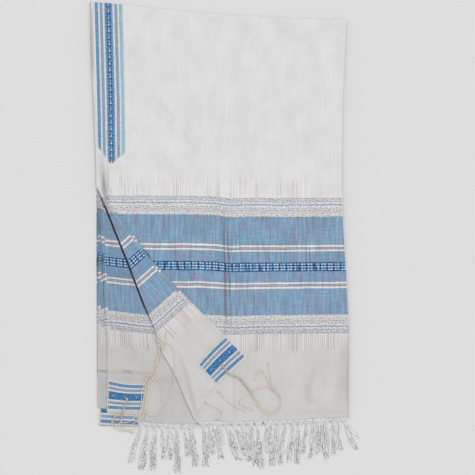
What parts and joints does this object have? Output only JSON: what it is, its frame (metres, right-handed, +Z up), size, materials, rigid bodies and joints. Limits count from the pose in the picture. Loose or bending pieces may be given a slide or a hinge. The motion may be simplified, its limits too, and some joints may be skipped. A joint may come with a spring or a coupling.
{
  "type": "tallit prayer shawl",
  "caption": "Prayer shawl folded in four and laid flat, one corner turned back; striped cloth, neckband, corner patches with tassels, and tied fringe along the hem.",
  "frame": {"origin": "centre of the footprint, on the surface that the folded shawl lies on", "axes": "+Y from the fringed hems towards the mid-length fold, +X towards the lengthwise fold, +Z up"},
  "size_m": [0.5781, 1.027, 0.0133],
  "materials": {
    "shawl_cloth": "plain woven white silk with light blue stripes",
    "neckband_cloth": "woven band in blues with pale lines",
    "patch_cloth": "woven patch in blues with pale lines",
    "fringe_thread": "twisted white thread, knotted",
    "tassel_thread": "twisted natural wool thread"
  },
  "bodies": {
    "root": {"front_panel": "shawl_cloth", "turned_corner": "shawl_cloth", "second_layer": "shawl_cloth", "under_layers": "shawl_cloth", "neckband": "neckband_cloth", "patch_turned_corner": "patch_cloth", "patch_second_layer": "patch_cloth", "patch_lowest_layer": "patch_cloth", "fringe_front": "fringe_thread", "fringe_second_layer": "fringe_thread", "fringe_turned_corner": "fringe_thread", "tassel_turned_corner": "tassel_thread", "tassel_second_layer": "tassel_thread", "tassel_lowest_layer": "tassel_thread"}
  },
  "joints": []
}
